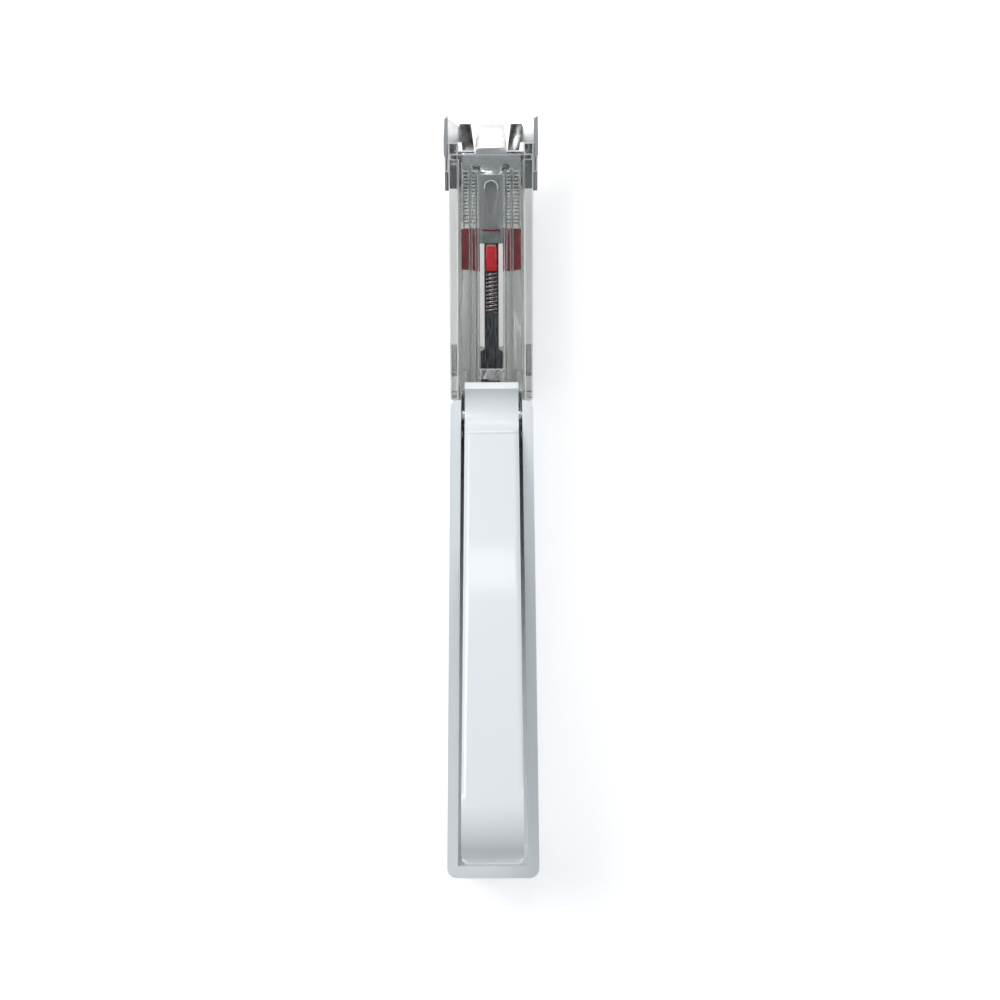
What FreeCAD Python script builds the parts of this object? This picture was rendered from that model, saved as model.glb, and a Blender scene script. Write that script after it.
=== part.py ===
import FreeCAD, Part
import os
import re
import Sketcher
from FreeCAD import Placement, Rotation, Vector

# A disposable skin stapler lying on its back with the trigger up. X is the width, +Y points to the
# nose and +Z to the trigger side. Handle pieces are drawn from the neck's lowest point, head pieces
# in the same place but tilted up by head_tilt, and the trigger's from its own pivot.

# Driving dimensions in millimetres and degrees
SIZES = {
    # Handle, a white channel
    "handle_length": 105.0, "neck_width": 17.4, "tail_width": 19.8, "rim_height": 21.0,
    "tail_height": 15.5, "back_wall": 2.0, "side_wall": 2.3, "end_wall": 2.6, "tail_round": 9.0,
    "tail_corner": 2.2, "back_edge_round": 1.6,
    # Trigger, measured from its pivot
    "pivot_back": 6.0, "pivot_drop": 3.8, "pin_radius": 1.25, "open_angle": 15.0,
    "trigger_reach": 94.0, "trigger_front_width": 11.3, "trigger_rear_width": 12.7,
    "trigger_skin": 1.8, "trigger_side": 1.6, "lip_forward": 5.6, "lip_height": 6.4,
    "lip_thick": 1.7, "lip_foot": 1.9, "groove_floor": 3.0, "crest_back": 5.0, "crest_height": 5.0,
    "curl_start": 82.0, "curl_height": 4.2, "curl_drop": 10.0, "curl_mid_back": 8.64,
    "curl_mid_drop": 3.0, "skirt_back": 14.0, "skirt_depth": 4.6, "hub_depth": 3.2,
    "trigger_round": 1.2,
    # Crank that drives the blade
    "crank_low": 4.9, "cheek_in": 2.8, "cheek_thick": 1.4, "crank_end": 1.8,
    "drive_pin_radius": 0.8, "pin_gap": 0.05, "slot_gap": 0.12,
    # Head frame, the clear outer moulding
    "head_tilt": 8.0, "head_length": 54.0, "nose_width": 18.2, "nose_height": 11.95,
    "nose_flat": 10.0, "head_back_wall": 1.6, "head_side_wall": 1.95, "nose_chamfer": 3.0,
    "joint_gap": 0.05, "window_rear": 4.3, "window_front": 11.1, "window_low": 6.6,
    "window_high": 11.4, "spigot_length": 12.0, "spigot_height": 5.2, "spigot_bar": 1.6,
    "spigot_foot": 6.0, "spigot_root": 0.4, "spigot_pin_radius": 0.9, "spigot_pin_front": 2.5,
    "sight_rear": 10.0, "sight_half": 2.55, "shoulder_out": 0.8, "shoulder_root": 0.3,
    "shoulder_low": 3.5, "shoulder_high": 8.5,
    # Driver blade and its carrier
    "blade_level": 3.8, "blade_thick": 0.7, "blade_half": 1.55, "blade_head_half": 5.9,
    "blade_head_length": 6.0, "blade_fork_half": 3.3, "blade_fork_depth": 1.6,
    "carrier_length": 5.4, "carrier_half": 2.5, "carrier_height": 4.4,
    # Cartridge tray and cover
    "tray_rear": 1.2, "tray_level": 5.0, "tray_floor": 0.8, "tray_gap": 0.05, "tray_wall": 0.55,
    "feed_mouth": 4.6, "lug_gap": 0.35, "lug_out": 0.95, "cover_thick": 0.8, "rib_inner": 2.85,
    "rib_outer": 4.15, "rib_thick": 0.45, "rib_level": 9.4, "flange_depth": 1.1,
    "flange_half": 8.7, "bridge_thick": 0.7, "bridge_front": 9.4,
    "slot_rear": 6.0,
    # Staples
    "wire": 0.58, "staple_width": 12.5, "leg_length": 3.3, "leg_bend": 0.7, "staple_cant": 52.6,
    "staple_gap": 0.02, "staple_count": 15.0, "stack_level": 5.95,
    # Anvil plate and channel tongue
    "plate_level": 9.6, "plate_thick": 0.6, "plate_half": 2.6, "plate_gap": 0.1,
    "plate_slot_half": 1.5, "tee_half": 6.1, "notch_radius": 0.85, "notch_out": 3.1,
    "anvil_reach": 5.2, "anvil_fall": 4.6, "anvil_root_half": 3.35, "anvil_tip_half": 2.75,
    "tongue_thick": 1.0, "tongue_level": 11.8, "tongue_crown": 0.6, "eye_radius": 1.5,
    "eye_foot": 3.2, "eye_foot_half": 0.5,
    # Follower, feed spring and spring strip
    "follower_half": 6.3, "follower_slant": 1.8, "follower_height": 3.1, "follower_slot": 2.5,
    "bridge_depth": 3.2, "boss_length": 5.2, "boss_half": 1.25, "boss_top": 11.4,
    "boss_round": 0.45, "travel_gap": 0.1, "spring_axis": 10.0, "spring_radius": 1.0,
    "spring_wire": 0.4, "spring_turns": 10.0, "spring_end_gap": 0.05, "strip_rear": 1.4,
    "strip_step": 10.1, "strip_shoulder": 0.6, "strip_wide": 2.4, "strip_narrow": 1.5,
    "strip_thick": 0.6, "strip_nose": 1.6, "strip_nose_half": 0.55,
    # Nose plate, stamped from sheet
    "sheet": 0.45, "ear_height": 9.6, "ear_thick": 0.95, "ear_round": 1.2, "wing_slope": 3.8,
    "leaf_in": 6.0, "leaf_level": 9.2, "step_in": 4.3, "step_level": 5.0, "rivet_radius": 0.8,
    "rivet_head": 1.4, "rivet_head_thick": 0.45, "rivet_out": 5.0,
    # Small springs
    "torsion_radius": 2.0, "torsion_wire": 0.5, "torsion_turns": 3.0, "torsion_turn_gap": 0.15,
    "well_gap": 0.4, "well_side": 0.2, "lifter_thick": 0.3, "lifter_half": 1.5, "lifter_rise": 1.5,
}

# Places along the head, as distances back from its front edge, so that they keep to the nose
FROM_FRONT = {
    "shoulder_rear": 6.1, "shoulder_front": 3.0, "blade_front": 7.1, "tray_front": 2.6,
    "channel_front": 6.8, "stack_front": 4.1, "plate_tail": 21.3, "plate_slot_front": 8.4,
    "tee_rear": 5.7, "tee_front": 2.2, "anvil_root": 1.1, "tongue_rear": 18.4,
    "follower_rear": 26.6, "boss_rear": 27.1, "strip_front": 36.1, "ear_rear": 2.8, "ear_top": -6.2,
    "wing_rear": -0.1, "wing_front": -5.4, "back_plate_rear": 10.0, "rivet_seat": 7.5,
    "lifter_rear": 18.0, "lifter_front": 5.0, "sight_front": 21.4,
}

doc = FreeCAD.newDocument("SkinStapler")
sheet = doc.addObject("Spreadsheet::Sheet", "Sizes")
for row, (alias, number) in enumerate({**SIZES, **FROM_FRONT}.items(), start=1):
    sheet.set("A%d" % row, alias)
    sheet.set("B%d" % row, str(number))
    sheet.setAlias("B%d" % row, alias)
doc.recompute()


def sheet_name(match):
    """A size's place in the sheet; a distance from the head's front becomes a place along the head."""
    word = match.group(0)
    if word in FROM_FRONT:
        return "(Sizes.head_length-Sizes.%s)" % word
    return "Sizes." + word if word in SIZES else word


def tied(text):
    """The formula with each size's name pointed at the sheet."""
    return re.sub(r"[A-Za-z_]\w*", sheet_name, text)


def value(text):
    """What a formula of the sheet's sizes comes to."""
    result = sheet.evalExpression(tied(text))
    return float(getattr(result, "Value", result))


def bind(thing, prop, text):
    """Ties a property to a formula of the sheet's sizes."""
    thing.setExpression(prop, tied(text))


def in_head(y, z):
    """A point of the handle's side view, as the tilted head sees it."""
    return ("(%s)*cos(head_tilt)+(%s)*sin(head_tilt)" % (y, z),
            "(%s)*cos(head_tilt)-(%s)*sin(head_tilt)" % (z, y))


# Where the three families of pieces stand: the neck's place along Y, height and tilt about X
PIVOT_HEIGHT = "(rim_height-pivot_drop)"
CRANK_ARM = "(rim_height-pivot_drop-crank_low)"
NECK_SHIFT = "(handle_length-(ear_top*cos(head_tilt)-step_level*sin(head_tilt)))/2"
FRAMES = {
    "handle": (NECK_SHIFT, "0", None),
    "head": (NECK_SHIFT, "0", "head_tilt"),
    "trigger": (NECK_SHIFT + "-pivot_back", PIVOT_HEIGHT, "-open_angle"),
}
PLANES = {"plan": "XY_Plane", "side": "YZ_Plane", "front": "XZ_Plane"}


def place(piece, frame):
    """Stands a piece in its family's place, tied to the sheet."""
    forward, height, tilt = FRAMES[frame]
    if tilt:
        piece.Placement = Placement(Vector(), Rotation(Vector(1, 0, 0), value(tilt)))
        bind(piece, "Placement.Rotation.Angle", tilt)
    bind(piece, "Placement.Base.y", forward)
    bind(piece, "Placement.Base.z", height)


def new_body(label, frame):
    """An empty body for one piece."""
    body = doc.addObject("PartDesign::Body", label)
    body.Label = label
    place(body, frame)
    return body


def draw(sketch, outline):
    """Draws one closed outline. A third entry marks a point that an arc passes through on its way."""
    if outline[0] == "circle":
        x, y, radius = outline[1:]
        ring = sketch.addGeometry(Part.Circle(Vector(value(x), value(y), 0), Vector(0, 0, 1), value(radius)), False)
        fix_point(sketch, ring, 3, x, y)
        size = sketch.addConstraint(Sketcher.Constraint("Radius", ring, value(radius)))
        bind(sketch, "Constraints[%d]" % size, radius)
        return
    corners = [p for p in outline if len(p) == 2]
    spots = [Vector(value(p[0]), value(p[1]), 0) for p in corners]
    first = len(sketch.Geometry)
    for index, start in enumerate(spots):
        end = spots[(index + 1) % len(spots)]
        through = outline[(outline.index(corners[index]) + 1) % len(outline)]
        if len(through) == 3:
            middle = Vector(value(through[0]), value(through[1]), 0)
            leftward = (middle - start).cross(end - middle).z > 0
            arc = Part.Arc(start, middle, end) if leftward else Part.Arc(end, middle, start)
            sketch.addGeometry(arc, False)
        else:
            sketch.addGeometry(Part.LineSegment(start, end), False)
    count = len(spots)
    ends = []
    for index in range(count):
        curve = sketch.Geometry[first + index]
        begins = (curve.StartPoint - spots[index]).Length < 1e-6
        ends.append((1, 2) if begins else (2, 1))
    for index in range(count):
        after = (index + 1) % count
        sketch.addConstraint(Sketcher.Constraint("Coincident", first + index, ends[index][1],
                                                 first + after, ends[after][0]))
        fix_point(sketch, first + index, ends[index][0], *corners[index])
    for index in range(count):
        through = outline[(outline.index(corners[index]) + 1) % len(outline)]
        if len(through) == 3:
            middle = Vector(value(through[0]), value(through[1]), 0)
            mark = sketch.addGeometry(Part.Point(middle), True)
            fix_point(sketch, mark, 1, through[0], through[1])
            sketch.addConstraint(Sketcher.Constraint("PointOnObject", mark, 1, first + index))


def fix_point(sketch, geometry, end, x, y):
    """Ties a point of the sketch to two formulas."""
    for kind, text in (("DistanceX", x), ("DistanceY", y)):
        rule = sketch.addConstraint(Sketcher.Constraint(kind, -1, 1, geometry, end, value(text)))
        bind(sketch, "Constraints[%d]" % rule, text)


def new_sketch(body, name, view, level):
    """A sketch seen in plan, from the side or from the front, at a level across that view."""
    sketch = body.newObject("Sketcher::SketchObject", name)
    plane = next(item for item in body.Origin.OriginFeatures if item.Role == PLANES[view])
    sketch.AttachmentSupport = (plane, "")
    sketch.MapMode = "FlatFace"
    sign = "-" if view == "front" else ""
    bind(sketch, "AttachmentOffset.Base.z", "%s(%s)" % (sign, level))
    return sketch


def slab(body, name, view, outlines, low, high):
    """Adds a prism between two levels across the view."""
    sketch = new_sketch(body, name + "_outline", view, high if view == "front" else low)
    for outline in outlines:
        draw(sketch, outline)
    pad = body.newObject("PartDesign::Pad", name)
    pad.Profile = sketch
    bind(pad, "Length", "(%s)-(%s)" % (high, low))
    doc.recompute()
    return pad


def cut(body, name, view, outlines, low, high):
    """Removes a prism between two levels across the view, and makes sure that it bites."""
    if not body.Shape.isValid():
        raise RuntimeError("%s is unsound before %s" % (body.Label, name))
    before = body.Shape.Volume
    sketch = new_sketch(body, name + "_outline", view, low if view == "front" else high)
    for outline in outlines:
        draw(sketch, outline)
    pocket = body.newObject("PartDesign::Pocket", name)
    pocket.Profile = sketch
    bind(pocket, "Length", "(%s)-(%s)" % (high, low))
    doc.recompute()
    if not body.Shape.Volume < before - 1e-6:
        raise RuntimeError("%s of %s cuts nothing" % (name, body.Label))
    return pocket


def soften(body, name, radius, spots):
    """Fillets the edges that pass nearest to the given points."""
    base = body.Tip
    names = set()
    for spot in spots:
        point = Part.Vertex(Vector(*[value(text) for text in spot]))
        edges = base.Shape.Edges
        nearest = min(range(len(edges)), key=lambda i: edges[i].distToShape(point)[0])
        names.add("Edge%d" % (nearest + 1))
    fillet = body.newObject("PartDesign::Fillet", name)
    fillet.Base = (base, sorted(names))
    bind(fillet, "Radius", radius)
    doc.recompute()
    return fillet


def box(x0, y0, x1, y1):
    """A rectangle as an outline."""
    return [(x0, y0), (x1, y0), (x1, y1), (x0, y1)]


def taper(body, name, rear, front, rear_half, front_half, low, high):
    """Trims both flanks to a width that changes evenly from rear to front."""
    for side, sign in (("right", ""), ("left", "-")):
        outline = [("%s(%s)" % (sign, rear_half), rear), ("%s(%s)" % (sign, front_half), front),
                   ("%s(%s+%s)" % (sign, rear_half, front_half), front),
                   ("%s(%s+%s)" % (sign, rear_half, front_half), rear)]
        cut(body, name + "_" + side, "plan", [outline], low, high)


# Where the cross pins of the head's spigot stand in the handle
SPIGOT_PIN = ("-spigot_length+spigot_pin_front", "back_wall+spigot_height/2")

# Handle body: a one-piece white channel with a rounded tail, open towards the trigger
HANDLE_FRONT_TOP = "-rim_height*tan(head_tilt)"


def handle_half(y, inset="0"):
    """Half the handle's width at a distance behind the neck."""
    return "(neck_width+(tail_width-neck_width)*(%s)/handle_length)/2-(%s)" % (y, inset)


def build_handle():
    body = new_body("handle_body", "handle")
    profile = [("0", "0"), (HANDLE_FRONT_TOP, "rim_height"),
               ("-handle_length", "tail_height"), ("-handle_length", "tail_round"),
               ("-handle_length+tail_round*(1-sqrt(0.5))", "tail_round*(1-sqrt(0.5))", "through"),
               ("-handle_length+tail_round", "0")]
    slab(body, "solid", "side", [profile], "-tail_width/2", "tail_width/2")
    taper(body, "flank", "-handle_length", "0", "tail_width/2", "neck_width/2", "-1", "rim_height+1")
    inner = [("-(%s)" % handle_half("0", "side_wall"), "1"),
             ("-(%s)" % handle_half("handle_length", "side_wall"), "-handle_length+end_wall"),
             (handle_half("handle_length", "side_wall"), "-handle_length+end_wall"),
             (handle_half("0", "side_wall"), "1")]
    cut(body, "channel", "plan", [inner], "back_wall", "rim_height+1")
    cut(body, "pivot_bore", "side", [("circle", "-pivot_back", PIVOT_HEIGHT, "pin_radius")],
        "-tail_width/2", "tail_width/2")
    cut(body, "spigot_bore", "side", [("circle", SPIGOT_PIN[0], SPIGOT_PIN[1], "spigot_pin_radius")],
        "-tail_width/2", "tail_width/2")
    tail = "tail_width/2"
    soften(body, "tail_corners", "tail_corner", [("-" + tail, "-handle_length", "tail_height-2"),
                                                 (tail, "-handle_length", "tail_height-2")])
    soften(body, "back_edges", "back_edge_round",
           [("-neck_width/2", "-1", "0"), ("neck_width/2", "-1", "0")])
    return body


build_handle()


# Trigger lever: a white channel that opens downwards, with a lip, a finger groove and a curled end
CRANK_PIN = (CRANK_ARM + "*sin(open_angle/2)", "-%s*cos(open_angle/2)" % CRANK_ARM)


def build_trigger():
    body = new_body("trigger_lever", "trigger")
    half = "trigger_rear_width/2"
    tip = "-trigger_reach"
    profile = [("lip_forward-lip_thick", "lip_height"),
               ("(lip_forward-lip_thick-crest_back)/2", "groove_floor", "through"),
               ("-crest_back", "crest_height"), ("-curl_start", "curl_height"),
               ("-curl_start-curl_mid_back", "curl_height-curl_mid_drop", "through"),
               (tip, "curl_height-curl_drop"), (tip + "+trigger_skin", "curl_height-curl_drop"),
               ("-skirt_back", "-skirt_depth"), ("-hub_depth-1", "-hub_depth"),
               ("lip_forward-lip_thick", "-lip_foot"), ("lip_forward", "lip_height-lip_thick/2")]
    slab(body, "solid", "side", [profile], "-" + half, half)
    taper(body, "flank", tip, "lip_forward", half, "trigger_front_width/2", "-trigger_reach", "lip_height+1")
    inner = [("-skirt_back+crest_back", "-2*curl_drop"),
             ("-skirt_back+crest_back", "crest_height-trigger_skin"),
             ("-curl_start", "curl_height-trigger_skin"),
             ("-curl_start-curl_mid_back+trigger_skin*sqrt(0.5)",
              "curl_height-curl_mid_drop-trigger_skin*sqrt(0.5)", "through"),
             (tip + "+trigger_skin", "curl_height-curl_drop"), (tip + "+trigger_skin", "-2*curl_drop")]
    inside = "trigger_front_width/2-trigger_side"
    cut(body, "hollow", "side", [inner], "-(%s)" % inside, inside)
    cheek = [("-hub_depth", "-1"), ("%s-crank_end" % CRANK_PIN[0], CRANK_PIN[1]),
             (CRANK_PIN[0], "%s-crank_end" % CRANK_PIN[1], "through"),
             ("%s+crank_end" % CRANK_PIN[0], CRANK_PIN[1]), ("hub_depth", "-1")]
    slab(body, "cheek_right", "side", [cheek], "cheek_in", "cheek_in+cheek_thick")
    slab(body, "cheek_left", "side", [cheek], "-cheek_in-cheek_thick", "-cheek_in")
    cut(body, "pivot_bore", "side", [("circle", "0", "0", "pin_radius+pin_gap")], "-" + half, half)
    cut(body, "crank_bore", "side", [("circle", CRANK_PIN[0], CRANK_PIN[1], "drive_pin_radius")],
        "-" + half, half)
    room = "torsion_radius+torsion_wire+well_gap"
    well = [("-(%s)" % room, "-hub_depth-1"), ("-(%s)" % room, "0"),
            ("0", "torsion_radius+torsion_wire+well_gap/4", "through"), (room, "0"), (room, "-hub_depth-1")]
    cut(body, "spring_well", "side", [well], "-cheek_in+well_side", "cheek_in-well_side")
    soften(body, "long_edges", "trigger_round",
           [("-trigger_front_width/2", "-trigger_reach/2", "crest_height"),
            ("trigger_front_width/2", "-trigger_reach/2", "crest_height")])
    return body


build_trigger()


# Trigger pin, drive pin and the cross pins of the spigot: plain turned pins
def build_pin(label, frame, spot, radius, half):
    """A turned pin across the width, at a spot of its family's side view."""
    body = new_body(label, frame)
    slab(body, "turned", "side", [("circle", spot[0], spot[1], radius)], "-(%s)" % half, half)
    return body


build_pin("trigger_pin", "handle", ("-pivot_back", PIVOT_HEIGHT), "pin_radius",
          handle_half("pivot_back"))
build_pin("drive_pin", "trigger", CRANK_PIN, "drive_pin_radius", "cheek_in+cheek_thick")


def build_spigot_pins():
    body = new_body("spigot_pins", "handle")
    inside = handle_half("spigot_length", "side_wall+spigot_bar")
    outside = handle_half("spigot_length-spigot_pin_front")
    ring = ("circle", SPIGOT_PIN[0], SPIGOT_PIN[1], "spigot_pin_radius")
    body.AllowCompound = True
    slab(body, "right_pin", "side", [ring], inside, outside)
    slab(body, "left_pin", "side", [ring], "-(%s)" % outside, "-(%s)" % inside)
    return body


build_spigot_pins()


# Head frame: the clear outer channel, with snap windows, shoulders and a spigot into the handle
def head_half(y, inset="0"):
    """Half the head's width at a distance in front of the neck."""
    return "(neck_width+(nose_width-neck_width)*(%s)/head_length)/2-(%s)" % (y, inset)


FRAME_INSIDE = "neck_width/2-head_side_wall+(nose_width-neck_width)/4"


def build_head_frame():
    body = new_body("head_frame", "head")
    profile = [("joint_gap", "0"), ("head_length-nose_chamfer", "0"), ("head_length", "nose_chamfer"),
               ("head_length", "nose_height"), ("head_length-nose_flat", "nose_height"),
               ("joint_gap", "rim_height/cos(head_tilt)")]
    slab(body, "solid", "side", [profile], "-nose_width/2", "nose_width/2")
    taper(body, "flank", "0", "head_length", "neck_width/2", "nose_width/2", "-1", "rim_height+2")
    room = box("-(%s)" % FRAME_INSIDE, "head_back_wall", FRAME_INSIDE, "rim_height+2")
    cut(body, "channel", "front", [room], "-1", "head_length+1")
    cut(body, "sight_hole", "plan", [box("-sight_half", "sight_rear", "sight_half", "sight_front")],
        "-1", "head_back_wall+1")
    cut(body, "snap_windows", "side", [box("window_rear", "window_low", "window_front", "window_high")],
        "-nose_width", "nose_width")
    shoulder = box("shoulder_rear", "shoulder_low", "shoulder_front", "shoulder_high")
    slab(body, "shoulder_right", "side", [shoulder], "nose_width/2-shoulder_root",
         "nose_width/2+shoulder_out")
    slab(body, "shoulder_left", "side", [shoulder], "-nose_width/2-shoulder_out",
         "-nose_width/2+shoulder_root")
    low = "back_wall+tray_gap"
    high = "back_wall+spigot_height"
    bar = [in_head("-spigot_length", low), in_head("spigot_root", low),
           in_head("spigot_root-(%s)*tan(head_tilt)" % high, high),
           in_head("-spigot_length", high)]
    outer = handle_half("0", "side_wall+tray_gap")
    slab(body, "spigot_right", "side", [bar], "(%s)-spigot_bar" % outer, outer)
    slab(body, "spigot_left", "side", [bar], "-(%s)" % outer, "-(%s)+spigot_bar" % outer)
    foot = [("joint_gap", "head_back_wall/2"), ("spigot_foot", "head_back_wall/2"),
            ("spigot_foot", "tray_level-travel_gap"), ("joint_gap", "tray_level-travel_gap")]
    slab(body, "foot_right", "side", [foot], "(%s)-spigot_bar" % outer, outer)
    slab(body, "foot_left", "side", [foot], "-(%s)" % outer, "-(%s)+spigot_bar" % outer)
    pin = in_head(*SPIGOT_PIN)
    cut(body, "spigot_bore", "side", [("circle", pin[0], pin[1], "spigot_pin_radius")],
        "-nose_width", "nose_width")
    holes = [("circle", "rivet_out", "rivet_seat", "rivet_radius"),
             ("circle", "-rivet_out", "rivet_seat", "rivet_radius")]
    cut(body, "rivet_holes", "plan", holes, "-1", "head_back_wall+1")
    return body


build_head_frame()


# Driver: a T-headed steel blade pushed by a moulded carrier, which the crank's pin moves in a slot
def crank_pin_seen(angle):
    """The drive pin's place in the head's frame when the crank hangs at an angle behind straight down."""
    return in_head("-pivot_back-%s*sin(%s)" % (CRANK_ARM, angle),
                   "%s-%s*cos(%s)" % (PIVOT_HEIGHT, CRANK_ARM, angle))


PIN_REST = crank_pin_seen("open_angle/2")
PIN_FIRED = crank_pin_seen("-open_angle/2")
CARRIER_REAR = "(%s)-carrier_length/2" % PIN_REST[0]


def build_driver():
    blade = new_body("driver_blade", "head")
    neck = "blade_front-blade_head_length"
    outline = [("-blade_half", CARRIER_REAR), ("blade_half", CARRIER_REAR), ("blade_half", neck),
               ("blade_head_half", neck + "+blade_head_half-blade_half"), ("blade_head_half", "blade_front"),
               ("blade_fork_half", "blade_front"), ("blade_fork_half", "blade_front-blade_fork_depth"),
               ("-blade_fork_half", "blade_front-blade_fork_depth"), ("-blade_fork_half", "blade_front"),
               ("-blade_head_half", "blade_front"), ("-blade_head_half", neck + "+blade_head_half-blade_half"),
               ("-blade_half", neck)]
    slab(blade, "stamping", "plan", [outline], "blade_level", "blade_level+blade_thick")

    carrier = new_body("driver_carrier", "head")
    front = "(%s)+carrier_length/2" % PIN_REST[0]
    slab(carrier, "block", "side", [box(CARRIER_REAR, "blade_level", front, "blade_level+carrier_height")],
         "-carrier_half", "carrier_half")
    reach = "drive_pin_radius+slot_gap"
    slot = box("(%s)-(%s)" % (PIN_REST[0], reach), "(%s)-(%s)" % (PIN_FIRED[1], reach),
               "(%s)+(%s)" % (PIN_REST[0], reach), "(%s)+(%s)" % (PIN_REST[1], reach))
    cut(carrier, "pin_slot", "side", [slot], "-carrier_half", "carrier_half")
    cut(carrier, "blade_groove", "front", [box("-blade_half", "blade_level-1", "blade_half",
                                              "blade_level+blade_thick")], CARRIER_REAR, front)


build_driver()


# Cartridge tray: a clear trough that holds the staples, snapped into the head frame's windows
TRAY_HALF = "(%s)-tray_gap" % FRAME_INSIDE
TRAY_TOP = "nose_height"


def build_tray():
    body = new_body("cartridge_tray", "head")
    inner = "(%s)-tray_wall" % TRAY_HALF
    floor = "tray_level+tray_floor"
    section = [("-(%s)" % TRAY_HALF, "tray_level"), (TRAY_HALF, "tray_level"), (TRAY_HALF, TRAY_TOP),
               (inner, TRAY_TOP), (inner, floor), ("-(%s)" % inner, floor), ("-(%s)" % inner, TRAY_TOP),
               ("-(%s)" % TRAY_HALF, TRAY_TOP)]
    slab(body, "trough", "front", [section], "tray_rear", "tray_front")
    cut(body, "feed_mouth", "plan", [box("-(%s)" % inner, "tray_front-feed_mouth", inner, "tray_front+1")],
        "tray_level-1", floor)
    cut(body, "sight_hole", "plan", [box("-sight_half", "sight_rear", "sight_half", "sight_front")],
        "tray_level-1", floor)
    lug = box("window_rear+lug_gap", "window_low+lug_gap", "window_front-lug_gap", "window_high-lug_gap")
    slab(body, "lug_right", "side", [lug], inner, "(%s)+lug_out" % TRAY_HALF)
    slab(body, "lug_left", "side", [lug], "-(%s)-lug_out" % TRAY_HALF, "-(%s)" % inner)
    return body


build_tray()


# Cartridge cover: a clear ribbed lid, its cross edge lying on the head frame's walls at the nose
def build_cover():
    body = new_body("cartridge_cover", "head")
    top = "nose_height+cover_thick"
    rear = "tray_rear"
    outline = [("-(%s)" % TRAY_HALF, rear), (TRAY_HALF, rear), (TRAY_HALF, "tray_front-flange_depth"),
               ("flange_half", "tray_front-flange_depth"), ("flange_half", "tray_front"),
               ("-flange_half", "tray_front"), ("-flange_half", "tray_front-flange_depth"),
               ("-(%s)" % TRAY_HALF, "tray_front-flange_depth")]
    slab(body, "lid", "plan", [outline], "nose_height", top)
    for name, inside in (("inner", "rib_inner"), ("outer", "rib_outer")):
        for side, sign in (("right", 1), ("left", -1)):
            edges = sorted(["%d*%s" % (sign, inside), "%d*(%s+rib_thick)" % (sign, inside)], key=value)
            slab(body, "rib_%s_%s" % (name, side), "side",
                 [box(rear, "rib_level", "tee_rear-travel_gap", top)], edges[0], edges[1])
    opening = box("-plate_half-plate_gap", "slot_rear", "plate_half+plate_gap", "channel_front")
    cut(body, "channel_hole", "plan", [opening], "nose_height-1", top)
    seat = "spring_axis-strip_thick/2"
    slab(body, "strip_bridge", "side", [box(rear, "%s-bridge_thick" % seat, "bridge_front", seat)],
         "-rib_inner-rib_thick", "rib_inner+rib_thick")
    return body


build_cover()


# Channel tongue: a small clear tongue in the lid's slot, with a half-round eye over the plate's slot
def build_tongue():
    body = new_body("channel_tongue", "head")
    outline = [("-plate_half", "channel_front"), ("-plate_half", "tongue_rear+tongue_crown"),
               ("0", "tongue_rear", "through"), ("plate_half", "tongue_rear+tongue_crown"),
               ("plate_half", "channel_front")]
    slab(body, "tongue", "plan", [outline], "tongue_level", "tongue_level+tongue_thick")
    eye = [("-eye_radius", "plate_slot_front-eye_radius"), ("-eye_foot_half", "tongue_rear+eye_foot"),
           ("eye_foot_half", "tongue_rear+eye_foot"), ("eye_radius", "plate_slot_front-eye_radius"),
           ("0", "plate_slot_front", "through")]
    cut(body, "eye", "plan", [eye], "tongue_level+tongue_thick/2", "tongue_level+tongue_thick+1")
    return body


build_tongue()


# Anvil plate: a stamped steel T with two round notches, a slot for the follower and the bent anvil
def build_anvil_plate():
    body = new_body("anvil_plate", "head")
    outline = [("-plate_half", "plate_tail"), ("-plate_slot_half", "plate_tail"),
               ("-plate_slot_half", "plate_slot_front-plate_slot_half"), ("0", "plate_slot_front", "through"),
               ("plate_slot_half", "plate_slot_front-plate_slot_half"), ("plate_slot_half", "plate_tail"),
               ("plate_half", "plate_tail"), ("plate_half", "tee_rear"), ("tee_half", "tee_rear"),
               ("tee_half", "tee_front"), ("anvil_root_half", "tee_front"), ("anvil_root_half", "anvil_root"),
               ("-anvil_root_half", "anvil_root"), ("-anvil_root_half", "tee_front"),
               ("-tee_half", "tee_front"), ("-tee_half", "tee_rear"), ("-plate_half", "tee_rear")]
    slab(body, "plate", "plan", [outline], "plate_level", "plate_level+plate_thick")
    notches = [("circle", "notch_out", "tee_rear+notch_radius/2", "notch_radius"),
               ("circle", "-notch_out", "tee_rear+notch_radius/2", "notch_radius")]
    cut(body, "notches", "plan", notches, "plate_level-1", "plate_level+plate_thick")
    top = "plate_level+plate_thick"
    fall = [("anvil_root-plate_thick", "plate_level"), ("anvil_root-plate_thick", top), ("anvil_root", top),
            ("anvil_root+anvil_reach", top + "-anvil_fall"),
            ("anvil_root+anvil_reach-plate_thick*0.66", top + "-anvil_fall-plate_thick*0.75"),
            ("anvil_root-plate_thick*0.2", "plate_level")]
    slab(body, "anvil", "side", [fall], "-anvil_root_half", "anvil_root_half")
    for side, sign in (("right", ""), ("left", "-")):
        trim = [(sign + "anvil_root_half", "anvil_root"), (sign + "anvil_tip_half", "anvil_root+anvil_reach"),
                (sign + "anvil_tip_half", "anvil_root+anvil_reach+1"), (sign + "2*anvil_root_half", "anvil_root+anvil_reach+1"),
                (sign + "2*anvil_root_half", "anvil_root")]
        cut(body, "anvil_flank_" + side, "plan", [trim], "0", top)
    return body


build_anvil_plate()


# Nose plate: stamped sheet on the nose's back, turned up into ears and folded in as stepped wings
EAR_IN = "nose_width/2+joint_gap"


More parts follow.
